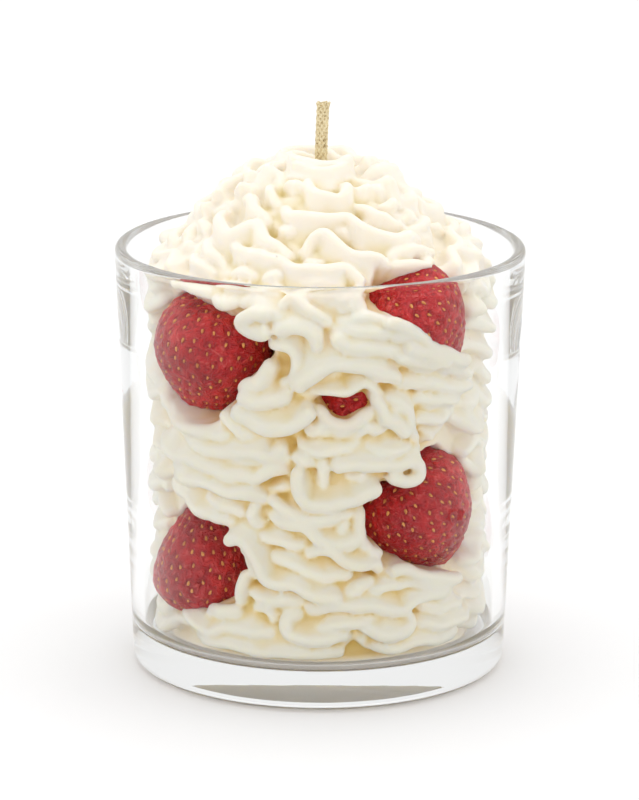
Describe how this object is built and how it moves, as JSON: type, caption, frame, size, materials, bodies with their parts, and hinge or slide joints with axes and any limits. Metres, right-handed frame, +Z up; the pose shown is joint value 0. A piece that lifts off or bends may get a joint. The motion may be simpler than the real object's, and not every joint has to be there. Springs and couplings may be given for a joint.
{
  "type": "strawberry parfait candle",
  "caption": "Dessert-style candle: ruffled ivory wax piped like whipped cream into a clear glass tumbler, set with red wax strawberries, with a cotton wick standing in the domed top.",
  "frame": {"origin": "centre of the glass's underside, on the surface that it stands on", "axes": "+Z up along the glass's axis, -Y towards the side that the picture shows, +X to the right seen from that side"},
  "size_m": [0.0878, 0.0878, 0.1227],
  "materials": {
    "clear_glass": "polished clear soda-lime glass",
    "ivory_wax": "satin ivory wax, slightly translucent",
    "strawberry": "deep red wax with a soft gloss and golden seeds",
    "wick_cotton": "braided waxed cotton"
  },
  "bodies": {
    "root": {"glass_tumbler": "clear_glass", "cream": "ivory_wax", "strawberry_upper_left": "strawberry", "strawberry_upper_right": "strawberry", "strawberry_middle": "strawberry", "strawberry_lower_right": "strawberry", "strawberry_lower_left": "strawberry", "strawberry_right_back": "strawberry", "strawberry_back_high": "strawberry", "strawberry_left_back": "strawberry", "strawberry_back_low": "strawberry", "strawberry_right_low": "strawberry", "strawberry_left_low": "strawberry", "wick": "wick_cotton"}
  },
  "joints": []
}
